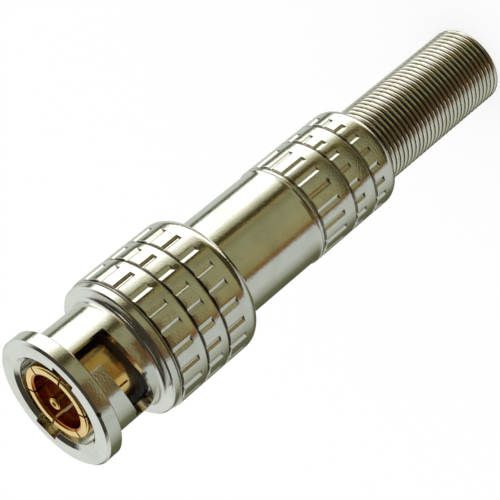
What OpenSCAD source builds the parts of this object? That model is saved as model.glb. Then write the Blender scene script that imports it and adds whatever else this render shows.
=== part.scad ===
// Coaxial bayonet plug with a screw-on tail and a coiled strain relief.
// Millimetres.  It stands on the end of its tail coil, +Z towards the mating face, and the
// near bayonet slot faces -Y.  Depths are counted back from the mating face, and every
// profile is a list of [radius, depth] points.

/* [Mating jack] */
// Outer radius of the jack shell that the coupling ring slides over
jack_shell_r = 4.85; // [4.75:0.01:4.95]
// Radius of the jack's two bayonet lugs
jack_lug_r = 1.0; // [0.9:0.05:1.1]
// Distance from the axis to the end of a lug
jack_lug_reach = 5.5; // [5.4:0.05:5.7]

/* [Coupling ring] */
// Radius of the rim round the mating face
rim_r = 7.25; // [7:0.05:7.6]
// Length of that rim
rim_l = 1.8; // [1.4:0.1:2.2]
// Radius of the neck that the bayonet slots open through
neck_r = 5.95; // [5.8:0.05:6.1]
// Length of the neck, from the rim to the grip's front face
neck_l = 6.65; // [6.4:0.05:8]
// Radius of the hollow corner between neck and grip
neck_fillet = 0.7; // [0.3:0.1:0.9]
// Radius of the grip over its lands
grip_r = 7.65; // [7.5:0.05:8.5]
// Radius of the plain collar at the front of the grip
collar_r = 7.45; // [7.3:0.05:7.5]
// Length of that collar
collar_l = 0.9; // [0.6:0.1:1.5]
// Length of the first fluted band
band_a_l = 2.35; // [1.5:0.05:3]
// Length of the second fluted band
band_b_l = 1.8; // [1.5:0.05:3]
// Length of the third fluted band
band_c_l = 2.15; // [1.5:0.05:3]
// Length of the plain land behind each band
land_l = 0.8; // [0.5:0.05:1.2]
// Width of the turned groove ahead of each band
groove_w = 0.38; // [0.2:0.02:0.6]
// Depth of those grooves
groove_d = 0.3; // [0.15:0.01:0.4]
// Length of the rounded rear end
grip_nose_l = 1.65; // [1.2:0.05:2.5]
// How far the rounding draws the radius in
grip_nose_drop = 1.4; // [1:0.05:1.45]
// Number of flutes round each band
flute_n = 22; // [12:1:28]
// Width of a flute
flute_w = 0.8; // [0.6:0.05:1.4]
// Depth of a flute
flute_d = 0.18; // [0.12:0.01:0.4]
// Width of a slot's straight entry beyond the lug's own diameter
slot_play = 0.6; // [0.3:0.05:0.8]
// Turn from the entry to the lug's resting place, in degrees
slot_turn = 82; // [60:1:85]
// Depth of the front edge of the ramp where it leaves the entry
ramp_front = 3.6; // [3.2:0.05:3.8]
// Forward to back travel of that edge along the ramp
ramp_rise = 1.45; // [1:0.05:1.6]
// Radial depth of the entry beyond the end of the lug
entry_room = 0.5; // [0.5:0.05:0.9]

/* [Plug body] */
// Radius of the flange that carries the coupling ring
flange_r = 5.95; // [5.8:0.05:6.1]
// Thickness of that flange
flange_l = 1.2; // [0.9:0.1:1.6]
// Thickness of the gasket seat ahead of the flange
seat_l = 0.5; // [0.3:0.05:0.8]
// Radius of the hub that the washers turn on
hub_r = 5.0; // [4.7:0.05:5.05]
// Length of that hub
hub_l = 3.3; // [3.2:0.05:4]
// Outer radius of the threaded stem that the tail screws on
stem_r = 4.33; // [4.2:0.01:4.5]
// Length of the stem
stem_l = 5.1; // [4:0.1:7]

/* [Contacts] */
// Radius of the centre pin at the mating end
pin_r = 0.675; // [0.66:0.005:0.69]
// Radius of the centre contact where the insulator holds it
pin_seat_r = 0.9; // [0.85:0.05:1]
// Depth of the pin's tip behind the mating face
pin_tip_depth = 0.05; // [0:0.05:0.5]
// Radius of the centre contact's collar
pin_collar_r = 1.2; // [1:0.05:1.5]
// Length of that collar
pin_collar_l = 1.3; // [0.8:0.1:1.4]
// Radius of the centre contact's rear end
pin_rear_r = 0.95; // [0.85:0.05:1]
// Length of the rear end that stands behind the stem
solder_cup_out = 2; // [1:0.1:4]
// Bore radius of the solder cup
solder_cup_r = 0.6; // [0.4:0.05:0.7]
// Depth of the solder cup
solder_cup_l = 3; // [2:0.1:4]
// Outer radius of the slotted outer contact
sleeve_r = 4.0; // [3.9:0.05:4.05]
// Radius of the bead at its tip
sleeve_bead_r = 4.2; // [4.1:0.05:4.3]
// Bore radius of the outer contact
sleeve_bore_r = 3.3; // [3.1:0.05:3.4]
// Bore radius at the tip, where the fingers turn in
sleeve_tip_bore_r = 3.1; // [2.9:0.05:3.3]
// Depth of the outer contact's tip behind the mating face
sleeve_tip_depth = 0.25; // [0.2:0.05:0.8]
// Number of slots that split it into fingers
finger_n = 6; // [4:1:8]
// Width of each of these slots
finger_slot_w = 0.25; // [0.15:0.05:0.4]
// Depth of the bottom of the slots behind the mating face
finger_slot_end = 6; // [4:0.1:6]

/* [Insulators and seal] */
// Depth of the front insulator's face behind the mating face
insulator_face = 5.2; // [4.8:0.1:6]
// Depth of the joint between front and rear insulator
insulator_split = 10; // [9:0.1:10]
// Radius of the rear insulator inside the stem
insulator_rear_r = 2.9; // [2.5:0.05:3]
// Length of the gasket that seals against the jack
gasket_l = 1.2; // [1:0.1:2.5]

/* [Ring bearing] */
// Sheet thickness of the wave washer
wave_t = 0.2; // [0.15:0.01:0.3]
// Height of the wave washer at rest
wave_h = 1.25; // [1.1:0.05:1.3]
// Number of waves round it
wave_n = 3; // [3:1:5]
// Thickness of the thrust washer
thrust_t = 0.45; // [0.3:0.05:0.6]
// Thickness of the snap ring
snap_t = 0.6; // [0.4:0.05:0.7]
// Outer radius of the snap ring
snap_r = 6.55; // [6.4:0.05:6.7]
// Inner radius of the snap ring
snap_bore_r = 5.3; // [5.2:0.05:5.5]
// Opening of the snap ring, in degrees
snap_gap = 30; // [20:1:60]

/* [Tail] */
// Radius of the smooth barrel
barrel_r = 5.65; // [5.6:0.05:5.8]
// Length of barrel that shows behind the coupling ring
barrel_l = 11.05; // [8:0.05:20]
// Radius of the tail grip over its lands
tail_grip_r = 5.8; // [5.7:0.05:6.5]
// Length of the tail's first fluted band
tail_band_a_l = 3.05; // [1:0.05:4]
// Length of the tail's second fluted band
tail_band_b_l = 1.3; // [1:0.05:4]
// Length of the tail's third fluted band
tail_band_c_l = 1.25; // [1:0.05:4]
// Length of the plain land behind each of the first two tail bands
tail_land_l = 1.45; // [0.6:0.05:2]
// Length of the plain land behind the last tail band
tail_last_land_l = 1.0; // [0.6:0.05:2]
// Width of the grooves ahead of the tail's bands
tail_groove_w = 0.42; // [0.2:0.02:0.6]
// Depth of those grooves
tail_groove_d = 0.26; // [0.15:0.01:0.35]
// Length of the tail's rounded end
tail_nose_l = 1.1; // [0.8:0.05:1.5]
// How far that rounding draws the radius in
tail_nose_drop = 0.7; // [0.5:0.05:0.8]
// Number of flutes round each tail band
tail_flute_n = 20; // [12:1:26]
// Width of a tail flute
tail_flute_w = 0.7; // [0.5:0.05:1.2]
// Depth of a tail flute
tail_flute_d = 0.16; // [0.12:0.01:0.35]
// Bore radius of the web that the tail coil butts against
web_bore_r = 3.4; // [3.1:0.05:3.6]
// Thickness of that web
web_t = 1.4; // [0.8:0.1:2]

/* [Cable grip and liner] */
// Radius of the cable's jacket
cable_r = 3.0; // [2.6:0.05:3.05]
// Sheet thickness of the braid clip
clip_t = 0.28; // [0.2:0.02:0.35]
// Length of the clip's ring that is pressed into the stem
clip_ring_l = 1.9; // [1.2:0.1:2.4]
// Length of the clip's trough
clip_trough_l = 9; // [6:0.5:12]
// Length of the clip's claws
clip_claw_l = 3; // [2:0.5:4]
// Wall of the insulating liner
liner_t = 0.6; // [0.4:0.05:0.7]
// Gap between the stem and the liner
liner_gap = 0.6; // [0.3:0.1:1]

/* [Tail coil] */
// Outer radius of the coil
coil_r = 4.5; // [4.3:0.05:4.6]
// Diameter of its wire
wire_d = 0.62; // [0.5:0.02:0.7]
// Gap between two turns
coil_gap = 0.03; // [0.02:0.01:0.3]
// Length of coil that shows behind the tail
coil_l = 18.9; // [10:0.1:40]
// Length of coil held in the tail's pocket
coil_seat_l = 5.4; // [3:0.1:5.8]

/* [Fits] */
// Radial clearance where one piece turns or slides on another
run = 0.05; // [0.03:0.01:0.09]
// Radial clearance where one piece is pressed or glued into another
push = 0.02; // [0.01:0.01:0.04]
// Gap between two faces that move past each other
face_gap = 0.05; // [0.03:0.01:0.1]

/* [Hidden] */

// Colours
NICKEL = [0.72, 0.73, 0.70];
GOLD = [0.85, 0.65, 0.25];
STEEL = [0.55, 0.55, 0.53];

// Azimuths: the middle of the near slot's entry, the first flute of each grip, a finger slot
entry_az = -76.5;
flute_az = -84.1;
tail_flute_az = -93.7;
finger_az = -11;

EPS = 0.5;       // how far a cutter runs past the surface it opens
FINE = 96;       // facets that a full circle is drawn with

// Depths along the coupling ring
grip_depth = rim_l + neck_l;
band_ls = [band_a_l, band_b_l, band_c_l];
groove_depths = [for (i = [0 : 2])
    grip_depth + collar_l + i * (groove_w + land_l) + (i > 0 ? band_a_l : 0) + (i > 1 ? band_b_l : 0)];
grip_nose_depth = groove_depths[2] + groove_w + band_c_l + land_l;
ring_end = grip_nose_depth + grip_nose_l;
ring_bore_r = jack_shell_r + 2 * run;

// Depths along the plug body
ring_shoulder = grip_depth - 0.25;
flange_depth = ring_shoulder + 0.2;
seat_depth = flange_depth - seat_l;
hub_depth = flange_depth + flange_l;
stem_depth = hub_depth + hub_l;
stem_end = stem_depth + stem_l;
sleeve_end = hub_depth + 1.8;
rear_step = sleeve_end + 0.1;
clip_depth = stem_end - clip_ring_l;
clip_seat = clip_depth - 0.1;

// Depths of the bearing
wave_depth = hub_depth + face_gap;
thrust_depth = wave_depth + wave_h + face_gap;
snap_depth = thrust_depth + thrust_t + face_gap;
cavity_r = flange_r + 2 * run;

// Depths along the tail
tail_depth = stem_depth + 2 * face_gap;
flare_l = 0.5;
flare_depth = ring_end + barrel_l - flare_l;
tail_collar_l = 0.25;
tail_band_ls = [tail_band_a_l, tail_band_b_l, tail_band_c_l];
tail_groove_depths = [for (i = [0 : 2])
    flare_depth + flare_l + tail_collar_l + i * (tail_groove_w + tail_land_l)
    + (i > 0 ? tail_band_a_l : 0) + (i > 1 ? tail_band_b_l : 0)];
tail_nose_depth = tail_groove_depths[2] + tail_groove_w + tail_band_c_l + tail_last_land_l;
tail_end = tail_nose_depth + tail_nose_l;
coil_depth = tail_end - coil_seat_l;
web_depth = coil_depth - face_gap - web_t;
overall_l = tail_end + coil_l;
tail_bore_r = stem_r + run + push;
liner_depth = stem_end + liner_gap;
liner_r = tail_bore_r - 3 * run;

// A body turned about the plug's axis from [radius, depth] points
module turned(profile) {
    rotate_extrude($fn = FINE) polygon([for (p = profile) [p[0], -p[1]]]);
}

// A plain tube between two depths
module tube(r, bore, from, to) {
    turned([[bore, from], [r, from], [r, to], [bore, to]]);
}

// A length of tube wall that covers only part of the circle, centred on azimuth az
module tube_arc(r, bore, from, to, az, span) {
    rotate([0, 0, az - span / 2])
        rotate_extrude(angle = span, $fn = FINE)
            polygon([[bore, -from], [r, -from], [r, -to], [bore, -to]]);
}

// Points of a rounded end that falls from radius r by drop over reach, starting at depth d
function rounded(r, d, drop, reach, steps = 8) =
    [for (i = [1 : steps]) let(a = 72 * i / steps)
        [r - drop * (1 - cos(a)) / (1 - cos(72)), d + reach * sin(a) / sin(72)]];

// Points of a groove with sloped walls, cut into radius r from depth d
function groove(r, d, w, depth) =
    [[r, d], [r - depth, d + w * 0.3], [r - depth, d + w * 0.7], [r, d + w]];

// V-shaped flutes round radius r, over a length from depth d
module flutes(n, az, r, w, depth, d, l) {
    for (i = [0 : n - 1])
        rotate([0, 0, az + i * 360 / n])
            translate([0, 0, -d - l])
                linear_extrude(l)
                    polygon([[r - depth, 0], [r + depth, -w], [r + depth, w]]);
}

// Everything drawn below the mating face is lifted until it stands on its tail
module standing() {
    translate([0, 0, overall_l]) children();
}

// ---------------------------------------------------------------- coupling ring

entry_w = 2 * jack_lug_r + slot_play;
entry_floor_r = jack_lug_reach + entry_room;
entry_half_turn = asin(entry_w / 2 / neck_r);
ramp_lead_turn = 5;
ramp_turn = slot_turn - entry_half_turn + ramp_lead_turn;
ramp_rear = ramp_front + 2 * jack_lug_r + 0.85;
ramp_rear_rise = 0.75;
ramp_steps = 10;

// Depth of the ramp's two edges, t being 0 just inside the entry and 1 at the lug's resting place
function ramp_front_edge(t) = ramp_front + ramp_rise * pow(t, 1.8);
function ramp_rear_edge(t) = ramp_rear + ramp_rear_rise * (3 * t * t - 2 * t * t * t);

// One bayonet slot: a straight entry, then a ramp that winds back to a round rest
module bayonet_slot() {
    entry_slope = 0.1;
    detent = 0.1;
    function across(t) = neck_r * sin(ramp_turn * (0.5 - t));
    rest_width = ramp_rear_edge(1) - ramp_front_edge(1);
    rest_depth = (ramp_front_edge(1) + ramp_rear_edge(1)) / 2 - detent / 2;

    rotate([90, 0, 90])
        linear_extrude(entry_floor_r)
            polygon([[entry_w / 2, EPS], [-entry_w / 2, EPS],
                     [-entry_w / 2, -ramp_rear + entry_slope / 4],
                     [entry_w / 2, -ramp_rear + entry_slope]]);
    rotate([0, 0, -slot_turn + ramp_turn / 2])
        rotate([90, 0, 90])
            linear_extrude(neck_r + EPS)
                polygon(concat(
                    [for (i = [0 : ramp_steps]) [across(i / ramp_steps), -ramp_front_edge(i / ramp_steps)]],
                    [for (i = [ramp_steps : -1 : 0]) [across(i / ramp_steps), -ramp_rear_edge(i / ramp_steps)]]));
    rotate([0, 0, -slot_turn])
        translate([0, 0, -rest_depth])
            rotate([0, 90, 0])
                cylinder(h = neck_r + EPS, r = rest_width / 2 + detent, $fn = 48);
}

module coupling_ring() {
    rim_edge = 0.25;
    rim_back_edge = 0.12;
    collar_edge = 0.15;
    mouth_l = 0.35;
    mouth_r = ring_bore_r + 0.5;
    snap_groove_r = snap_r + run;
    corner = [for (a = [90 : 15 : 180])
        [neck_r + neck_fillet + neck_fillet * cos(a), grip_depth - neck_fillet + neck_fillet * cos(a - 90)]];
    outside = concat(
        [[mouth_r, 0], [rim_r - rim_edge, 0], [rim_r, rim_edge],
         [rim_r, rim_l - rim_back_edge], [rim_r - rim_back_edge, rim_l], [neck_r, rim_l]],
        [for (i = [len(corner) - 1 : -1 : 0]) corner[i]],
        [[collar_r - collar_edge, grip_depth], [collar_r, grip_depth + collar_edge],
         [collar_r, groove_depths[0]]],
        [for (d = groove_depths) for (p = groove(grip_r, d, groove_w, groove_d)) p],
        [[grip_r, grip_nose_depth]],
        rounded(grip_r, grip_nose_depth, grip_nose_drop, grip_nose_l));
    inside = [
        [cavity_r, ring_end],
        [cavity_r, snap_depth + snap_t + run / 2],
        [snap_groove_r, snap_depth + snap_t + run / 2],
        [snap_groove_r, snap_depth - run / 2],
        [cavity_r, snap_depth - run / 2],
        [cavity_r, ring_shoulder],
        [ring_bore_r, ring_shoulder],
        [ring_bore_r, mouth_l]];
    color(NICKEL) standing() difference() {
        turned(concat(outside, inside));
        for (side = [0, 180])
            rotate([0, 0, entry_az + side]) bayonet_slot();
        for (i = [0 : 2])
            flutes(flute_n, flute_az, grip_r, flute_w, flute_d,
                   groove_depths[i] + groove_w / 2, groove_w / 2 + band_ls[i]);
    }
}

// ---------------------------------------------------------------- plug body and contacts

module plug_body() {
    seat_r = jack_shell_r;
    thread_relief_r = stem_r - 0.35;
    stem_edge = 0.3;
    color(NICKEL) standing() turned([
        [sleeve_r + push, seat_depth], [seat_r, seat_depth],
        [seat_r, flange_depth], [flange_r, flange_depth],
        [flange_r, hub_depth], [hub_r, hub_depth],
        [hub_r, stem_depth], [thread_relief_r, stem_depth],
        [thread_relief_r, stem_depth + stem_edge], [stem_r, stem_depth + 2 * stem_edge],
        [stem_r, stem_end - stem_edge], [stem_r - stem_edge, stem_end],
        [cable_r + clip_t + push, stem_end], [cable_r + clip_t + push, clip_seat],
        [insulator_rear_r + push, clip_seat], [insulator_rear_r + push, rear_step],
        [sleeve_r + push, rear_step]]);
}

// Sprung fingers with a rounded bead at the tip
module outer_contact() {
    bead_l = 1.35;
    bead_round = 0.25;
    tip_bore_l = 1.2;
    bead = [for (a = [0 : 18 : 90])
        [sleeve_bead_r - bead_round + bead_round * sin(a),
         sleeve_tip_depth + bead_round - bead_round * cos(a)]];
    inner_edge = [for (a = [90 : -18 : 0])
        [sleeve_tip_bore_r + bead_round - bead_round * sin(a),
         sleeve_tip_depth + bead_round - bead_round * cos(a)]];
    color(GOLD) standing() difference() {
        turned(concat(
            bead,
            [[sleeve_bead_r, sleeve_tip_depth + bead_l - bead_round],
             [sleeve_r, sleeve_tip_depth + bead_l],
             [sleeve_r, sleeve_end], [sleeve_bore_r, sleeve_end],
             [sleeve_bore_r, sleeve_tip_depth + tip_bore_l + bead_round],
             [sleeve_tip_bore_r, sleeve_tip_depth + tip_bore_l]],
            inner_edge));
        for (i = [0 : finger_n - 1])
            rotate([0, 0, finger_az + i * 360 / finger_n])
                translate([0, -finger_slot_w / 2, -finger_slot_end])
                    cube([sleeve_bead_r + EPS, finger_slot_w, finger_slot_end]);
    }
}

module front_insulator() {
    color("white") standing()
        tube(sleeve_bore_r - run, pin_seat_r + push, insulator_face, insulator_split);
}

module rear_insulator() {
    shoulder = rear_step - face_gap;
    collar_seat = insulator_split + pin_collar_l + 2 * face_gap;
    color("white") standing() turned([
        [pin_collar_r + run, insulator_split], [sleeve_bore_r - run, insulator_split],
        [sleeve_bore_r - run, shoulder], [insulator_rear_r, shoulder],
        [insulator_rear_r, clip_seat], [pin_rear_r + run, clip_seat],
        [pin_rear_r + run, collar_seat], [pin_collar_r + run, collar_seat]]);
}

// Pin with a rounded tip, a collar held between the insulators and a solder cup
module centre_pin() {
    tip_round = 0.12;
    seat_from = insulator_face - 0.1;
    collar_depth = insulator_split + face_gap;
    cup_end = stem_end + solder_cup_out;
    tip = [for (a = [0 : 30 : 90])
        [pin_r - tip_round * (1 - sin(a)), pin_tip_depth + tip_round * (1 - cos(a))]];
    color(GOLD) standing() turned(concat(
        [[0, pin_tip_depth]],
        tip,
        [[pin_r, seat_from], [pin_seat_r, seat_from],
         [pin_seat_r, collar_depth], [pin_collar_r, collar_depth],
         [pin_collar_r, collar_depth + pin_collar_l], [pin_rear_r, collar_depth + pin_collar_l],
         [pin_rear_r, cup_end], [solder_cup_r, cup_end],
         [solder_cup_r, cup_end - solder_cup_l], [0, cup_end - solder_cup_l]]));
}

module gasket() {
    color([0.12, 0.12, 0.12]) standing()
        tube(jack_shell_r, sleeve_r + push, seat_depth - face_gap - gasket_l, seat_depth - face_gap);
}

// ---------------------------------------------------------------- ring bearing

// Flat spring washer bent into waves
module wave_washer() {
    segments = 72;
    bore = hub_r + run;
    outer = cavity_r - 3 * run;
    swing = (wave_h - wave_t) / 2;
    ring = [for (i = [0 : segments - 1]) let(
            a = i * 360 / segments,
            mid = -wave_depth - wave_h / 2 + swing * cos(wave_n * a))
        for (c = [[bore, -1], [outer, -1], [outer, 1], [bore, 1]])
            [c[0] * cos(a), c[0] * sin(a), mid + c[1] * wave_t / 2]];
    sides = [for (i = [0 : segments - 1]) for (k = [0 : 3]) let(
            j = (i + 1) % segments, m = (k + 1) % 4)
        for (t = [[4 * i + k, 4 * j + m, 4 * j + k], [4 * i + k, 4 * i + m, 4 * j + m]]) t];
    color(STEEL) standing() polyhedron(ring, sides);
}

module thrust_washer() {
    color(STEEL) standing()
        tube(cavity_r - 2 * run, hub_r + run, thrust_depth, thrust_depth + thrust_t);
}

module snap_ring() {
    color(STEEL) standing()
        tube_arc(snap_r, snap_bore_r, snap_depth, snap_depth + snap_t, 90, 360 - snap_gap);
}

// ---------------------------------------------------------------- tail

// Sheet-metal clip: a ring in the stem, a trough for the cable and two claws round it
module braid_clip() {
    clip_r = cable_r + clip_t;
    trough_span = 130;
    claw_span = 290;
    trough_end = stem_end + clip_trough_l;
    claw_end = trough_end + clip_claw_l;
    color(NICKEL) standing() difference() {
        tube(clip_r, cable_r, clip_depth, claw_end);
        tube_arc(clip_r + EPS, cable_r - EPS, stem_end, trough_end, -90, 360 - trough_span);
        tube_arc(clip_r + EPS, cable_r - EPS, trough_end - EPS, claw_end + EPS, -90, 360 - claw_span);
    }
}

module insulating_liner() {
    color("white") standing()
        tube(liner_r, liner_r - liner_t, liner_depth, web_depth - face_gap);
}

module tail_shell() {
    front_edge = 0.3;
    pocket_r = coil_r + run;
    outside = concat(
        [[barrel_r - front_edge, tail_depth], [barrel_r, tail_depth + front_edge],
         [barrel_r, flare_depth]],
        [for (i = [1 : 4]) let(a = 22.5 * i)
            [barrel_r + (tail_grip_r - barrel_r) * (1 - cos(a)), flare_depth + flare_l * sin(a)]],
        [for (d = tail_groove_depths) for (p = groove(tail_grip_r, d, tail_groove_w, tail_groove_d)) p],
        [[tail_grip_r, tail_nose_depth]],
        rounded(tail_grip_r, tail_nose_depth, tail_nose_drop, tail_nose_l));
    inside = [
        [pocket_r, tail_end],
        [pocket_r, web_depth + web_t], [web_bore_r, web_depth + web_t],
        [web_bore_r, web_depth], [tail_bore_r, web_depth], [tail_bore_r, tail_depth]];
    color(NICKEL) standing() difference() {
        turned(concat(outside, inside));
        for (i = [0 : 2])
            flutes(tail_flute_n, tail_flute_az, tail_grip_r, tail_flute_w, tail_flute_d,
                   tail_groove_depths[i] + tail_groove_w / 2, tail_groove_w / 2 + tail_band_ls[i]);
    }
}

// Close-wound coil whose last turn is ground flat for the part to stand on
module tail_coil() {
    sides = 6;
    steps = 18;
    wire_r = wire_d / 2;
    mid_r = coil_r - wire_r;
    pitch = wire_d + coil_gap;
    top = -coil_depth - wire_r;
    bottom = -overall_l - wire_r * 0.6;
    ground_edge = 0.04;
    turns = (top - bottom) / pitch;
    rings = ceil(turns * steps);
    points = [for (i = [0 : rings]) let(
            a = 360 * turns * i / rings,
            z = bottom + (top - bottom) * i / rings)
        for (k = [0 : sides - 1]) let(
            b = 360 * k / sides,
            r = mid_r + wire_r * cos(b),
            lowest = -overall_l + (k > sides / 2 ? 0 : ground_edge))
            [r * cos(a), r * sin(a), max(z + wire_r * sin(b), lowest)]];
    walls = [for (i = [0 : rings - 1]) for (k = [0 : sides - 1]) let(
            n = i * sides, m = (k + 1) % sides)
        for (t = [[n + k, n + sides + m, n + m], [n + k, n + sides + k, n + sides + m]]) t];
    first_end = [[for (k = [0 : sides - 1]) k]];
    last_end = [[for (k = [sides - 1 : -1 : 0]) rings * sides + k]];
    color(STEEL) standing() polyhedron(points, concat(walls, first_end, last_end));
}

coupling_ring();
plug_body();
outer_contact();
front_insulator();
rear_insulator();
centre_pin();
gasket();
wave_washer();
thrust_washer();
snap_ring();
braid_clip();
insulating_liner();
tail_shell();
tail_coil();
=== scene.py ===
"""Looks of the bayonet coaxial plug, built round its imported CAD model.

Lengths are in millimetres in the modelling functions and become metres when a mesh is finished.
Depths are counted back from the mating face, as in the part's own drawing: a profile is a list of
(radius, depth, corner radius) points, and turned() revolves it about the plug's axis.
"""

import math

import bmesh
import bpy
from mathutils import Matrix, Vector

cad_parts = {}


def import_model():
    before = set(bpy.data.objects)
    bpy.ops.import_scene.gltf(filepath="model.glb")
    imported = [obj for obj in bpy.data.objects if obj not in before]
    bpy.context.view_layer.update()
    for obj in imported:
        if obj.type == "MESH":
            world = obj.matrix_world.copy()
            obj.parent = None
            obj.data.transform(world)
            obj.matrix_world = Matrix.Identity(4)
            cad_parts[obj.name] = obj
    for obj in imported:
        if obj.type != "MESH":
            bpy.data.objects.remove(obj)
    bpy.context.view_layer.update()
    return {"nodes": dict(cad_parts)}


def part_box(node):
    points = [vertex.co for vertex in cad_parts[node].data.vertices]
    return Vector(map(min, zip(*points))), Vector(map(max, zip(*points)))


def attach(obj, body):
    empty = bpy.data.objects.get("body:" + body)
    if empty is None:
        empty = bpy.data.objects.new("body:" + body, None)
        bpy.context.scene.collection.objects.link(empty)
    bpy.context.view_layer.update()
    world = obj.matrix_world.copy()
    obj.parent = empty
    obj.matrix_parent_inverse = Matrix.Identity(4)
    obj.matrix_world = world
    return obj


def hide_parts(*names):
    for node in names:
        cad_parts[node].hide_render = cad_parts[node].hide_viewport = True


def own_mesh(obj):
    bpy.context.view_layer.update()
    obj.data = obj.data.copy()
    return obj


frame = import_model()

MM = 0.001
FACE_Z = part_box("coupling_ring")[1].z / MM      # height of the mating face above the ground
RING_END = FACE_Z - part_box("coupling_ring")[0].z / MM
TAIL_START = FACE_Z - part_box("tail_shell")[1].z / MM
TAIL_END = FACE_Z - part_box("tail_shell")[0].z / MM
SMOOTH_BELOW = math.radians(20)                 # edges sharper than this stay crisp


# ------------------------------------------------------------------ meshes

def finished(name, bm, body, replaced, material):
    """Turns a bmesh in millimetres into a smooth-shaded piece that rides on a body."""
    bmesh.ops.recalc_face_normals(bm, faces=bm.faces)
    bmesh.ops.scale(bm, vec=(MM, MM, MM), verts=bm.verts)
    mesh = bpy.data.meshes.new(name)
    bm.to_mesh(mesh)
    bm.free()
    mesh.shade_smooth()
    mesh.set_sharp_from_angle(angle=SMOOTH_BELOW)
    mesh.materials.append(material)
    piece = bpy.data.objects.new(name, mesh)
    bpy.context.scene.collection.objects.link(piece)
    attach(piece, body)
    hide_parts(*replaced)
    return piece


def rounded_corners(points, steps=6):
    """Replaces each (r, depth, corner radius) of a closed outline by points along its corner arc."""
    out = []
    for i, (r, d, *rest) in enumerate(points):
        fillet = rest[0] if rest else 0
        here = Vector((r, d))
        if not fillet:
            out.append((r, d))
            continue
        before = (Vector(points[i - 1][:2]) - here)
        after = (Vector(points[(i + 1) % len(points)][:2]) - here)
        half = before.angle(after) / 2
        reach = min(fillet / math.tan(half), before.length * 0.45, after.length * 0.45)
        radius = reach * math.tan(half)
        centre = here + (before.normalized() + after.normalized()).normalized() * (radius / math.sin(half))
        start = here + before.normalized() * reach - centre
        end = here + after.normalized() * reach - centre
        for k in range(steps + 1):
            arm = start.slerp(end, k / steps).normalized() * radius
            out.append((centre.x + arm.x, centre.y + arm.y))
    return out


def even_columns(count):
    """Azimuths of the columns of a plain turned piece, in degrees, each with no flute."""
    return [(360 * i / count, 0.0) for i in range(count)]


def fluted_columns(count, first, radius, width):
    """Azimuths of the columns of a fluted piece, each with its share of the flute's depth."""
    half = math.degrees(math.asin(width / 2 / radius))
    shape = [(-1.14, 0), (-1, 0.03), (-0.86, 0.14), (-0.5, 0.5), (-0.1, 0.91), (0, 0.94),
             (0.1, 0.91), (0.5, 0.5), (0.86, 0.14), (1, 0.03), (1.14, 0)]
    land_steps = 5
    pitch = 360 / count
    land = pitch - 2 * 1.14 * half
    columns = []
    for i in range(count):
        middle = first + i * pitch
        columns += [(middle + u * half, share) for u, share in shape]
        columns += [(middle + 1.14 * half + land * k / land_steps, 0.0) for k in range(1, land_steps)]
    return columns


def turned(outline, columns, limit=lambda depth, share: None):
    """Revolves a closed outline.  limit() may give the largest radius at a depth and flute share."""
    bm = bmesh.new()
    grid = []
    for r, d in outline:
        row = []
        for azimuth, share in columns:
            most = limit(d, share)
            radius = r if most is None else min(r, most)
            a = math.radians(azimuth)
            row.append(bm.verts.new((radius * math.cos(a), radius * math.sin(a), FACE_Z - d)))
        grid.append(row)
    rows, wide = len(grid), len(columns)
    for i in range(rows):
        for j in range(wide):
            a, b = grid[i], grid[(i + 1) % rows]
            k = (j + 1) % wide
            bm.faces.new((a[j], b[j], b[k], a[k]))
    bmesh.ops.remove_doubles(bm, verts=bm.verts, dist=1e-5)
    bmesh.ops.dissolve_degenerate(bm, edges=bm.edges, dist=1e-5)
    return bm


def pin_from(outline, first, count):
    """Revolves an open outline and closes it on the axis, at depth first and at its own last depth."""
    bm = bmesh.new()
    rings = [[bm.verts.new((r * math.cos(2 * math.pi * j / count), r * math.sin(2 * math.pi * j / count),
                            FACE_Z - d)) for j in range(count)] for r, d in outline]
    tips = [bm.verts.new((0, 0, FACE_Z - d)) for d in (first, outline[-1][1])]
    for a, b in zip(rings, rings[1:]):
        for j in range(count):
            k = (j + 1) % count
            bm.faces.new((a[j], b[j], b[k], a[k]))
    for ring, tip in zip((rings[0], rings[-1]), tips):
        for j in range(count):
            bm.faces.new((ring[j], ring[(j + 1) % count], tip))
    return bm


def prism(points, height, turn):
    """A radial cutter: an outline in (across, along) extruded outward from the axis, as its own mesh."""
    bm = bmesh.new()
    near = [bm.verts.new((0, x, z)) for x, z in points]
    far = [bm.verts.new((height, x, z)) for x, z in points]
    bm.faces.new(near)
    bm.faces.new(far[::-1])
    for i in range(len(points)):
        j = (i + 1) % len(points)
        bm.faces.new((near[i], far[i], far[j], near[j]))
    bmesh.ops.rotate(bm, verts=bm.verts, cent=(0, 0, 0), matrix=Matrix.Rotation(math.radians(turn), 3, "Z"))
    bmesh.ops.recalc_face_normals(bm, faces=bm.faces)
    return bm


def cut(bm, cutters):
    """Subtracts each cutter from a bmesh, in turn, with the exact boolean."""
    def as_object(source):
        mesh = bpy.data.meshes.new("cutting")
        source.to_mesh(mesh)
        source.free()
        made = bpy.data.objects.new("cutting", mesh)
        bpy.context.scene.collection.objects.link(made)
        return made

    bmesh.ops.recalc_face_normals(bm, faces=bm.faces)
    work = as_object(bm)
    tools = [as_object(c) for c in cutters]
    for tool in tools:
        modifier = work.modifiers.new("cut", "BOOLEAN")
        modifier.operation = "DIFFERENCE"
        modifier.solver = "EXACT"
        modifier.object = tool
    result = bmesh.new()
    result.from_mesh(work.evaluated_get(bpy.context.evaluated_depsgraph_get()).to_mesh())
    for o in [work, *tools]:
        bpy.data.objects.remove(o)
    return result


# ------------------------------------------------------------------ materials

def new_material(name):
    material = bpy.data.materials.new(name)
    material.use_nodes = True
    nodes = material.node_tree.nodes
    return material, nodes, material.node_tree.links, nodes["Principled BSDF"]


def node(nodes, kind, **settings):
    made = nodes.new(kind)
    for key, value in settings.items():
        if key in made.inputs:
            made.inputs[key].default_value = value
        else:
            setattr(made, key, value)
    return made


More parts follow.
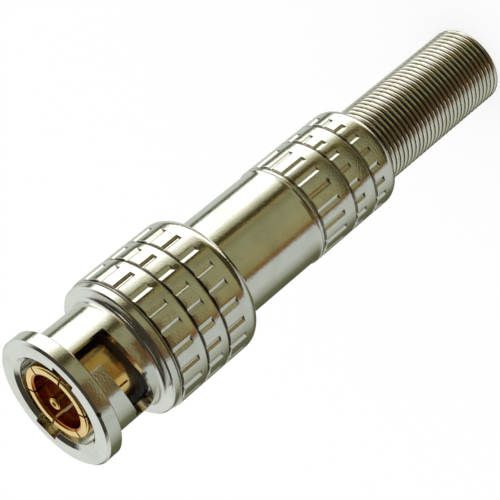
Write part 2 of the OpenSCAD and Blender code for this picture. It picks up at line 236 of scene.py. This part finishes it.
def noise(nodes, links, vector, scale, detail=3.0):
    made = node(nodes, "ShaderNodeTexNoise", Scale=scale, Detail=detail)
    links.new(vector, made.inputs["Vector"])
    return made.outputs["Fac"]


def mapped(nodes, links, value, low, high, to_low, to_high):
    made = node(nodes, "ShaderNodeMapRange")
    made.inputs["From Min"].default_value = low
    made.inputs["From Max"].default_value = high
    made.inputs["To Min"].default_value = to_low
    made.inputs["To Max"].default_value = to_high
    links.new(value, made.inputs["Value"])
    return made.outputs["Result"]


def turned_coordinate(nodes, links, position):
    """(distance from the axis, 0, height): constant along every circle that a lathe tool cuts."""
    split = node(nodes, "ShaderNodeSeparateXYZ")
    links.new(position, split.inputs[0])
    flat = node(nodes, "ShaderNodeCombineXYZ")
    links.new(split.outputs["X"], flat.inputs["X"])
    links.new(split.outputs["Y"], flat.inputs["Y"])
    radius = node(nodes, "ShaderNodeVectorMath", operation="LENGTH")
    links.new(flat.outputs[0], radius.inputs[0])
    made = node(nodes, "ShaderNodeCombineXYZ")
    links.new(radius.outputs["Value"], made.inputs["X"])
    links.new(split.outputs["Z"], made.inputs["Z"])
    return made.outputs[0]


def mixed(nodes, links, factor, a, b, blend="MIX"):
    """Mixes two colours, where factor, a and b are each a constant or the output of a node."""
    made = node(nodes, "ShaderNodeMix", data_type="RGBA", blend_type=blend)
    for socket, value in (("Factor", factor), ("A", a), ("B", b)):
        if isinstance(value, bpy.types.NodeSocket):
            links.new(value, made.inputs[socket])
        else:
            made.inputs[socket].default_value = (*value, 1) if isinstance(value, tuple) else value
    return made.outputs["Result"]


def darkened(nodes, links, colour, factor, tint):
    """The colour where factor is 1, and the colour times the tint where it is 0."""
    return mixed(nodes, links, factor, mixed(nodes, links, 1, colour, tint, "MULTIPLY"), colour)


def pits_over(nodes, links, position, colour):
    """Scatters small dark pits, one in about seven cells, over a colour."""
    cells = node(nodes, "ShaderNodeTexVoronoi", Scale=330)
    links.new(position, cells.inputs["Vector"])
    dot = mapped(nodes, links, cells.outputs["Distance"], 0.05, 0.11, 1, 0)
    pick = node(nodes, "ShaderNodeSeparateColor")
    links.new(cells.outputs["Color"], pick.inputs[0])
    some = mapped(nodes, links, pick.outputs[0], 0.86, 0.87, 0, 1)
    pit = node(nodes, "ShaderNodeMath", operation="MULTIPLY")
    links.new(dot, pit.inputs[0])
    links.new(some, pit.inputs[1])
    return mixed(nodes, links, pit.outputs[0], colour, (0.09, 0.07, 0.05))


def bumped(nodes, links, height, normal, strength, distance):
    """Normal of a surface whose relief is height times distance, over another normal if one is given."""
    made = node(nodes, "ShaderNodeBump", Strength=strength, Distance=distance * MM)
    links.new(height, made.inputs["Height"])
    if normal:
        links.new(normal, made.inputs["Normal"])
    return made.outputs[0]


def plated(name, colour, stain, roughness, marks, grain, pits=False, crevice_shade=None, bore_shade=None):
    """Plated metal with lathe marks, a grainy, cloudy polish and faint stains.

    pits scatters small dark pits.  crevice_shade is how dark the painted shade in grooves and corners is.
    bore_shade is the radius inside which the colour is darkened by painted shade, and the tint of that
    shade.
    """
    material, nodes, links, shader = new_material(name)
    position = node(nodes, "ShaderNodeTexCoord").outputs["Object"]
    stained = mapped(nodes, links, noise(nodes, links, position, 420), 0.45, 0.75, 0, 1)
    shown = mixed(nodes, links, stained, colour, stain)
    if pits:
        shown = pits_over(nodes, links, position, shown)
    # Painted shade: inside the bore radius the colour is multiplied by a dark red tint, standing in for the
    # shade and reddened reflections inside the sleeve.
    if bore_shade:
        radius, tint = bore_shade
        split = node(nodes, "ShaderNodeSeparateXYZ")
        links.new(turned_coordinate(nodes, links, position), split.inputs[0])
        outside = mapped(nodes, links, split.outputs["X"], (radius - 0.05) * MM, radius * MM, 0, 1)
        shown = darkened(nodes, links, shown, outside, tint)
    # Painted shade: ambient occlusion darkens the colour towards a dark tint in grooves, flute edges and
    # corners.
    if crevice_shade:
        corner = node(nodes, "ShaderNodeAmbientOcclusion", samples=6, Distance=0.45 * MM)
        open_air = mapped(nodes, links, corner.outputs["AO"], 0.45, 0.85, 0, 1)
        shown = darkened(nodes, links, shown, open_air, (crevice_shade, crevice_shade * 0.8, crevice_shade * 0.5))
    links.new(shown, shader.inputs["Base Color"])
    shader.inputs["Metallic"].default_value = 1.0
    links.new(mapped(nodes, links, noise(nodes, links, position, 900), 0.3, 0.7, *roughness),
              shader.inputs["Roughness"])
    edges = node(nodes, "ShaderNodeBevel", samples=4, Radius=0.04 * MM)
    lathe_marks = noise(nodes, links, turned_coordinate(nodes, links, position), 9000, 2)
    normal = bumped(nodes, links, lathe_marks, edges.outputs[0], marks, 0.002)
    satin = noise(nodes, links, position, 5200, 3)
    links.new(bumped(nodes, links, satin, normal, grain, 0.014), shader.inputs["Normal"])
    return material


def moulded(name, colour, roughness, grain):
    """Moulded plastic or rubber with a fine grain."""
    material, nodes, links, shader = new_material(name)
    position = node(nodes, "ShaderNodeTexCoord").outputs["Object"]
    clouds = noise(nodes, links, position, 700)
    shade = tuple(c * 0.8 for c in colour)
    links.new(mixed(nodes, links, clouds, colour, shade), shader.inputs["Base Color"])
    links.new(mapped(nodes, links, clouds, 0.3, 0.7, *roughness), shader.inputs["Roughness"])
    relief = noise(nodes, links, position, 6000)
    links.new(bumped(nodes, links, relief, None, grain, 0.01), shader.inputs["Normal"])
    return material


NICKEL = plated("nickel_plate", colour=(0.78, 0.77, 0.72), stain=(0.70, 0.69, 0.62),
                roughness=(0.06, 0.14), marks=0.25, grain=0.7, pits=True, crevice_shade=0.2)
GOLD = plated("gold_plate", colour=(0.93, 0.60, 0.16), stain=(0.86, 0.50, 0.10),
              roughness=(0.12, 0.22), marks=0.25, grain=0.3)
# The sleeve's gold has painted shade inside its bore.
GOLD_SLEEVE = plated("gold_plate_bore_shaded", colour=(0.95, 0.68, 0.28), stain=(0.84, 0.48, 0.10),
                     roughness=(0.12, 0.22), marks=0.25, grain=0.6, bore_shade=(3.4, (0.62, 0.28, 0.12)))
SPRING = plated("spring_wire", colour=(0.76, 0.74, 0.66), stain=(0.64, 0.61, 0.50),
                roughness=(0.07, 0.14), marks=0.1, grain=0.15, crevice_shade=0.3)
WHITE_PLASTIC = moulded("white_insulator", colour=(0.80, 0.78, 0.72), roughness=(0.35, 0.5), grain=0.15)
BLACK_RUBBER = moulded("black_rubber", colour=(0.016, 0.011, 0.010), roughness=(0.5, 0.7), grain=0.3)


# ------------------------------------------------------------------ coupling ring

RIM_R, RIM_L = 7.25, 1.8
NECK_R, GRIP_DEPTH = 5.95, 8.45
COLLAR_R, COLLAR_L = 7.45, 0.9
GRIP_R, GRIP_NOSE_DROP, GRIP_NOSE_L = 7.65, 1.4, 1.65
RING_BORE_R, CAVITY_R, RING_SHOULDER = 4.95, 6.05, 8.2
EDGE = 0.06                                      # radius of a machined corner
SLOT_AZIMUTHS = (-76.5, 103.5)                   # of the bayonet slots' entries, in degrees
FLUTE_AZIMUTH, TAIL_FLUTE_AZIMUTH, FINGER_AZIMUTH = -84.1, -93.7, -11


def fluted_bands(start, bands, groove_w, land_l, last_land_l):
    """(groove start, band start, band end) of each band, and the depth where the last land ends."""
    out = []
    d = start
    for i, length in enumerate(bands):
        band = d + groove_w
        out.append((d, band, band + length))
        d = band + length + (last_land_l if i == len(bands) - 1 else land_l)
    return out, d


def band_outline(bands, radius, groove_w, groove_d):
    """Outline of the grooves, bands and lands.  A band's end has two rows, with and without flutes."""
    out = []
    for groove, band, end in bands:
        out += [(radius, groove, EDGE), (radius - groove_d, groove + groove_w * 0.3, EDGE / 2),
                (radius - groove_d, groove + groove_w * 0.7, EDGE / 2), (radius, band, EDGE)]
        out += [(radius, band + (end - band) * k / 3) for k in (1, 2)]
        out += [(radius, end - 0.002), (radius, end + 0.002)]
    return out


def nose_outline(radius, depth, drop, reach, steps=14):
    """Points of a rounded end that falls by drop over reach."""
    stop = math.radians(72)
    return [(radius - drop * (1 - math.cos(stop * k / steps)) / (1 - math.cos(stop)),
             depth + reach * math.sin(stop * k / steps) / math.sin(stop)) for k in range(steps + 1)]


def flute_limit(bands, radius, depth_of_flute):
    """Largest radius at a depth: inside a band it follows the flutes, elsewhere it is free."""
    def limit(d, share):
        for groove, band, end in bands:
            if groove + 0.1 < d < end:
                return radius - depth_of_flute * share
        return None
    return limit


def slot_cutters(azimuth):
    """The straight entry, the winding ramp and the round rest of one bayonet slot."""
    entry_w, floor_r, slot_turn = 2.6, 6.0, 82
    front, rear, rise, rear_rise = 3.6, 6.45, 1.45, 0.75
    lead_turn, detent, steps = 5, 0.1, 24
    turn = slot_turn - math.degrees(math.asin(entry_w / 2 / NECK_R)) + lead_turn

    def across(t):
        return NECK_R * math.sin(math.radians(turn * (0.5 - t)))

    def front_edge(t):
        return front + rise * t ** 1.8

    def rear_edge(t):
        return rear + rear_rise * (3 * t * t - 2 * t ** 3)

    ts = [i / steps for i in range(steps + 1)]
    ramp = [(across(t), FACE_Z - front_edge(t)) for t in ts]
    ramp += [(across(t), FACE_Z - rear_edge(t)) for t in reversed(ts)]
    entry = [(entry_w / 2, FACE_Z + 1), (-entry_w / 2, FACE_Z + 1),
             (-entry_w / 2, FACE_Z - rear + 0.02), (entry_w / 2, FACE_Z - rear + 0.08)]
    rest_r = (rear_edge(1) - front_edge(1)) / 2 + detent
    rest_z = FACE_Z - (front_edge(1) + rear_edge(1)) / 2 + detent / 2
    rest = [(rest_r * math.cos(a), rest_z + rest_r * math.sin(a))
            for a in (2 * math.pi * i / 48 for i in range(48))]
    return [prism(entry, floor_r, azimuth),
            prism(ramp, NECK_R + 0.5, azimuth - slot_turn + turn / 2),
            prism(rest, NECK_R + 0.5, azimuth - slot_turn)]


def coupling_ring():
    """The nickel-plated ring: rim, slotted neck, collar, fluted grip and rounded nose."""
    groove_w, groove_d, flute_n, flute_w, flute_d = 0.38, 0.3, 22, 0.8, 0.18
    bands, nose = fluted_bands(GRIP_DEPTH + COLLAR_L, (2.35, 1.8, 2.15), groove_w, 0.8, 0.8)
    snap_front, snap_back, snap_r = 11.35, 12.03, 6.6
    outline = [
        (RING_BORE_R + 0.5, 0, EDGE), (RIM_R - 0.25, 0, 0.02), (RIM_R, 0.25, 0.02),
        (RIM_R, RIM_L - 0.12, EDGE / 2), (RIM_R - 0.12, RIM_L, EDGE / 2), (NECK_R, RIM_L, EDGE),
        (NECK_R, 2.6), (NECK_R, 5), (NECK_R, 7.2), (NECK_R, GRIP_DEPTH, 0.7),
        (COLLAR_R - 0.15, GRIP_DEPTH, EDGE), (COLLAR_R, GRIP_DEPTH + 0.15, EDGE),
        (COLLAR_R, GRIP_DEPTH + COLLAR_L - 0.02)]
    outline += band_outline(bands, GRIP_R, groove_w, groove_d)
    outline += nose_outline(GRIP_R, nose, GRIP_NOSE_DROP, RING_END - nose)
    outline += [
        (CAVITY_R, RING_END, EDGE / 2), (CAVITY_R, 16), (CAVITY_R, snap_back), (snap_r, snap_back),
        (snap_r, snap_front), (CAVITY_R, snap_front), (CAVITY_R, RING_SHOULDER, EDGE),
        (RING_BORE_R, RING_SHOULDER, EDGE), (RING_BORE_R, 5), (RING_BORE_R, 2), (RING_BORE_R, 0.35, EDGE)]
    bm = turned(rounded_corners(outline), fluted_columns(flute_n, FLUTE_AZIMUTH, GRIP_R, flute_w),
                flute_limit(bands, GRIP_R, flute_d))
    bm = cut(bm, [c for azimuth in SLOT_AZIMUTHS for c in slot_cutters(azimuth)])
    finished("ring_body", bm, "ring", ["coupling_ring"], NICKEL)


# ------------------------------------------------------------------ tail

BARREL_R, TAIL_GRIP_R = 5.65, 5.8


def tail_shell():
    """The barrel with its fluted grip, bored through from both ends up to an inner web."""
    groove_w, groove_d, flute_n, flute_w, flute_d = 0.42, 0.26, 20, 0.7, 0.16
    nose_l, flare_l, collar_l = 1.1, 0.5, 0.25
    flare = RING_END + 11.05 - flare_l
    bands, nose = fluted_bands(flare + flare_l + collar_l, (3.05, 1.3, 1.25), groove_w, 1.45, 1.0)
    bore_r, web_r, web_front, web_back, pocket_r = 4.4, 3.4, 37.25, 38.65, 4.55
    outline = [(BARREL_R - 0.3, TAIL_START, EDGE), (BARREL_R, TAIL_START + 0.3, EDGE),
               (BARREL_R, 18), (BARREL_R, 22), (BARREL_R, 27)]
    outline += [(BARREL_R + (TAIL_GRIP_R - BARREL_R) * (1 - math.cos(math.pi * k / 12)),
                 flare + flare_l * math.sin(math.pi * k / 12)) for k in range(7)]
    outline += band_outline(bands, TAIL_GRIP_R, groove_w, groove_d)
    outline += nose_outline(TAIL_GRIP_R, nose, 0.7, TAIL_END - nose)
    outline += [(pocket_r, TAIL_END, EDGE), (pocket_r, 41), (pocket_r, web_back), (web_r, web_back, EDGE),
                (web_r, web_front, EDGE), (bore_r, web_front), (bore_r, 30), (bore_r, 20),
                (bore_r, TAIL_START, EDGE)]
    bm = turned(rounded_corners(outline), fluted_columns(flute_n, TAIL_FLUTE_AZIMUTH, TAIL_GRIP_R, flute_w),
                flute_limit(bands, TAIL_GRIP_R, flute_d))
    finished("tail_body", bm, "tail", ["tail_shell"], NICKEL)


def tail_coil():
    """The close-wound wire, clamped at ground level where its last turn is ground flat."""
    wire_r, pitch, sides, steps_a_turn = 0.31, 0.65, 14, 44
    ground_share, flat_edge = 0.6, 0.04          # of the wire's radius lost below ground; rise of its rim
    low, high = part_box("tail_coil")
    mid_r = high.y / MM - wire_r
    ground = low.z / MM
    top = high.z / MM - wire_r
    bottom = ground - wire_r * ground_share
    turns = (top - bottom) / pitch
    steps = int(turns * steps_a_turn)
    bm = bmesh.new()
    loops = []
    for i in range(steps + 1):
        a = 2 * math.pi * turns * i / steps
        z = bottom + (top - bottom) * i / steps
        loop = []
        for k in range(sides):
            b = 2 * math.pi * k / sides
            r = mid_r + wire_r * math.cos(b)
            lowest = ground + (0 if math.sin(b) < -0.1 else flat_edge)
            height = max(z + wire_r * math.sin(b), lowest)
            loop.append(bm.verts.new((r * math.cos(a), r * math.sin(a), height)))
        loops.append(loop)
    for a, b in zip(loops, loops[1:]):
        for k in range(sides):
            m = (k + 1) % sides
            bm.faces.new((a[k], a[m], b[m], b[k]))
    bm.faces.new(loops[0][::-1])
    bm.faces.new(loops[-1])
    finished("coil_wire", bm, "tail", ["tail_coil"], SPRING)


# ------------------------------------------------------------------ contacts

def outer_contact():
    """The gold-plated sleeve, beaded at its tip and slotted into fingers."""
    tip, end = 0.25, FACE_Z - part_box("outer_contact")[0].z / MM
    sleeve_r, bead_r, bore_r, tip_bore_r = 4.0, 4.2, 3.3, 3.1
    slot_w, slot_end, finger_n = 0.25, 6.0, 6
    outline = [(tip_bore_r, tip, 0.25), (bead_r, tip, 0.25), (bead_r, tip + 1.0, 0.3),
               (sleeve_r, tip + 1.35, 0.3), (sleeve_r, 4), (sleeve_r, end, EDGE), (bore_r, end, EDGE),
               (bore_r, tip + 1.45, 0.2), (tip_bore_r, tip + 1.2, 0.2)]
    bm = turned(rounded_corners(outline, 8), even_columns(192))
    slot = [(-slot_w / 2, FACE_Z + 1), (slot_w / 2, FACE_Z + 1),
            (slot_w / 2, FACE_Z - slot_end), (-slot_w / 2, FACE_Z - slot_end)]
    bm = cut(bm, [prism(slot, bead_r + 1, FINGER_AZIMUTH + i * 360 / finger_n) for i in range(finger_n)])
    finished("contact_fingers", bm, "plug", ["outer_contact"], GOLD_SLEEVE)


def centre_pin():
    """The gold-plated pin, with a dimpled tip, a seat, a collar and a solder cup."""
    tip = FACE_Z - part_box("centre_pin")[1].z / MM
    end = FACE_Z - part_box("centre_pin")[0].z / MM
    pin_r, seat_r, collar_r, rear_r, cup_r, cup_l = 0.675, 0.9, 1.2, 0.95, 0.6, 3
    seat, collar, collar_l = 5.1, 10.05, 1.3
    edge, dimple_r, dimple_l = 0.12, 0.36, 0.16
    outline = [(dimple_r * math.sin(a), tip + dimple_l * math.cos(a))
               for a in (math.pi / 2 * k / 6 for k in range(1, 7))]
    outline += [(pin_r - edge * (1 - math.sin(a)), tip + edge * (1 - math.cos(a)))
                for a in (math.pi / 2 * k / 6 for k in range(7))]
    outline += [(pin_r, seat), (seat_r, seat), (seat_r, collar), (collar_r, collar),
                (collar_r, collar + collar_l), (rear_r, collar + collar_l), (rear_r, end - 0.05),
                (rear_r - 0.05, end), (cup_r, end), (cup_r, end - cup_l)]
    finished("pin", pin_from(outline, tip + dimple_l, 64), "plug", ["centre_pin"], GOLD)


def wave_spring():
    """The wave washer, taken from its CAD mesh, smooth-shaded and riding on the plug."""
    kept = frame["nodes"]["wave_washer"]
    bm = bmesh.new()
    bm.from_mesh(kept.data)
    bm.transform(Matrix.Scale(1 / MM, 4) @ kept.matrix_world)
    piece = finished("wave_spring", bm, "plug", ["wave_washer"], SPRING)
    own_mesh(piece)


# ------------------------------------------------------------------ CAD nodes that stay

def dress(names, material):
    """Gives carried-over CAD nodes a better material."""
    for name in names:
        mesh = frame["nodes"][name].data
        mesh.materials.clear()
        mesh.materials.append(material)


coupling_ring()
tail_shell()
tail_coil()
outer_contact()
centre_pin()
wave_spring()
dress(["plug_body", "braid_clip"], NICKEL)
dress(["thrust_washer", "snap_ring"], SPRING)
dress(["front_insulator", "rear_insulator", "insulating_liner"], WHITE_PLASTIC)
dress(["gasket"], BLACK_RUBBER)


# ------------------------------------------------------------------ camera

camera_data = bpy.data.cameras.new("camera")
camera_data.sensor_width = 36
camera_data.lens = 129.6
camera_data.clip_start = 0.005
camera_data.clip_end = 20
camera = bpy.data.objects.new("camera", camera_data)
bpy.context.scene.collection.objects.link(camera)
bpy.context.scene.camera = camera
CAMERA_AT = (0, -0.15752, 0.12558)               # metres
RIGHT = Vector((-0.6374, -0.3823, -0.6690))
UP = Vector((0.7706, -0.3126, -0.5554))
camera.matrix_world = Matrix.Translation(CAMERA_AT) @ Matrix(
    (RIGHT, UP, RIGHT.cross(UP))).transposed().to_4x4()


# ------------------------------------------------------------------ studio

def floor():
    """A pale floor that catches the shadow.  Metal looks through it at the studio's own light."""
    bm = bmesh.new()
    bmesh.ops.create_grid(bm, x_segments=1, y_segments=1, size=3)
    mesh = bpy.data.meshes.new("floor")
    bm.to_mesh(mesh)
    bm.free()
    made = bpy.data.objects.new("floor", mesh)
    bpy.context.scene.collection.objects.link(made)
    material = bpy.data.materials.new("floor_paper")
    material.use_nodes = True
    nodes, links = material.node_tree.nodes, material.node_tree.links
    nodes.clear()
    paper = node(nodes, "ShaderNodeBsdfDiffuse", Color=(1, 1, 1, 1))
    white = node(nodes, "ShaderNodeEmission", Color=(1, 1, 1, 1), Strength=1.0)
    clear = node(nodes, "ShaderNodeBsdfTransparent")
    light_path = node(nodes, "ShaderNodeLightPath")
    shown = node(nodes, "ShaderNodeMixShader", Fac=0.75)
    links.new(paper.outputs[0], shown.inputs[1])
    links.new(white.outputs[0], shown.inputs[2])
    seen = node(nodes, "ShaderNodeMixShader")
    links.new(light_path.outputs["Is Camera Ray"], seen.inputs[0])
    links.new(paper.outputs[0], seen.inputs[1])
    links.new(shown.outputs[0], seen.inputs[2])
    mirrored = node(nodes, "ShaderNodeMixShader")
    links.new(light_path.outputs["Is Glossy Ray"], mirrored.inputs[0])
    links.new(seen.outputs[0], mirrored.inputs[1])
    links.new(clear.outputs[0], mirrored.inputs[2])
    out = node(nodes, "ShaderNodeOutputMaterial")
    links.new(mirrored.outputs[0], out.inputs[0])
    mesh.materials.append(material)


# What polished metal sees around it: (turn from the near side in degrees, colour), for four ranges of
# the height of the direction, from low to high DARK, OLIVE, BROWN and UPPER
WHITE_CARD = [(62, (0.95, 0.95, 0.80)), (70, (1.5, 1.5, 1.45)), (113, (1.5, 1.5, 1.45)),
              (117, (0.10, 0.11, 0.06)), (126, (0.12, 0.14, 0.08)), (132, (0.62, 0.66, 0.60)),
              (180, (0.60, 0.64, 0.58))]
GREY_CARD = [(-180, (0.60, 0.64, 0.58)), (-160, (0.09, 0.09, 0.05)), (-128, (0.16, 0.16, 0.09)),
             (-108, (0.42, 0.44, 0.36)), (-92, (0.56, 0.60, 0.56)), (-60, (0.56, 0.60, 0.57))]
BROWN_ROOM = GREY_CARD + [
    (-54, (0.20, 0.20, 0.13)), (-44, (0.13, 0.08, 0.03)), (-6, (0.15, 0.09, 0.03)),
    (4, (0.30, 0.29, 0.17)), (28, (0.30, 0.30, 0.18)), (36, (0.07, 0.06, 0.025)),
    (46, (0.08, 0.07, 0.03)), (54, (0.38, 0.38, 0.22))] + WHITE_CARD
OLIVE_ROOM = GREY_CARD + [
    (-56, (0.20, 0.09, 0.02)), (-50, (0.22, 0.12, 0.035)), (-42, (0.32, 0.28, 0.12)),
    (-20, (0.34, 0.33, 0.17)), (12, (0.30, 0.30, 0.16)), (26, (0.22, 0.21, 0.10)),
    (33, (0.34, 0.29, 0.11)), (38, (0.06, 0.04, 0.012)), (46, (0.07, 0.05, 0.015)),
    (52, (0.42, 0.42, 0.25))] + WHITE_CARD
DARK_ROOM = GREY_CARD + [
    (-54, (0.07, 0.06, 0.02)), (-40, (0.05, 0.04, 0.012)), (20, (0.06, 0.045, 0.012)),
    (36, (0.10, 0.085, 0.03)), (46, (0.26, 0.23, 0.09)), (54, (0.55, 0.52, 0.30))] + WHITE_CARD
UPPER_ROOM = [                                   # whoever holds the camera stands dark on the near side
    (-180, (0.80, 0.84, 0.82)), (-75, (0.72, 0.75, 0.72)), (-62, (0.22, 0.10, 0.04)),
    (-34, (0.20, 0.08, 0.03)), (-28, (0.03, 0.025, 0.015)), (26, (0.04, 0.03, 0.02)),
    (34, (0.45, 0.33, 0.12)), (48, (0.55, 0.42, 0.16)), (58, (0.90, 0.92, 0.90)),
    (180, (0.80, 0.84, 0.82))]
CEILING = (0.05, 0.045, 0.03)


def surroundings(nodes, links, turn, stops):
    """Colour seen at a turn about the vertical, from stops that go from -180 to 180 degrees."""
    ramp = node(nodes, "ShaderNodeValToRGB")
    links.new(turn, ramp.inputs[0])
    made = ramp.color_ramp.elements
    made.remove(made[1])
    for i, (angle, colour) in enumerate(stops):
        stop = made[0] if i == 0 else made.new(angle / 360 + 0.5)
        stop.position = angle / 360 + 0.5
        stop.color = (*colour, 1)
    return ramp.outputs[0]


def world():
    """White to the camera, an even light on everything matt, and a studio with cards to polished metal."""
    made = bpy.data.worlds.new("studio")
    bpy.context.scene.world = made
    made.use_nodes = True
    nodes, links = made.node_tree.nodes, made.node_tree.links
    nodes.clear()
    split = node(nodes, "ShaderNodeSeparateXYZ")
    links.new(node(nodes, "ShaderNodeTexCoord").outputs["Generated"], split.inputs[0])
    height = split.outputs["Z"]
    toward = node(nodes, "ShaderNodeMath", operation="MULTIPLY")
    toward.inputs[1].default_value = -1
    links.new(split.outputs["Y"], toward.inputs[0])
    azimuth = node(nodes, "ShaderNodeMath", operation="ARCTAN2")
    links.new(split.outputs["X"], azimuth.inputs[0])
    links.new(toward.outputs[0], azimuth.inputs[1])
    turn = mapped(nodes, links, azimuth.outputs[0], -math.pi, math.pi, 0, 1)

    def above(low, high, under, over):
        """Goes from one colour to another as the direction's height rises from low to high."""
        return mixed(nodes, links, mapped(nodes, links, height, low, high, 0, 1), under, over)

    seen = surroundings(nodes, links, turn, DARK_ROOM)
    for low, high, room in ((-0.60, -0.57, OLIVE_ROOM), (-0.428, -0.412, BROWN_ROOM),
                            (-0.15, 0.25, UPPER_ROOM)):
        seen = above(low, high, seen, surroundings(nodes, links, turn, room))
    seen = above(0.5, 0.62, seen, CEILING)
    metal = node(nodes, "ShaderNodeBackground")
    links.new(seen, metal.inputs["Color"])
    plain = node(nodes, "ShaderNodeBackground", Color=(1, 1, 1, 1))
    light_path = node(nodes, "ShaderNodeLightPath")
    both = node(nodes, "ShaderNodeMixShader")
    links.new(light_path.outputs["Is Glossy Ray"], both.inputs[0])
    links.new(plain.outputs[0], both.inputs[1])
    links.new(metal.outputs[0], both.inputs[2])
    out = node(nodes, "ShaderNodeOutputWorld")
    links.new(both.outputs[0], out.inputs[0])


floor()
world()
bpy.context.scene.view_settings.view_transform = "Standard"
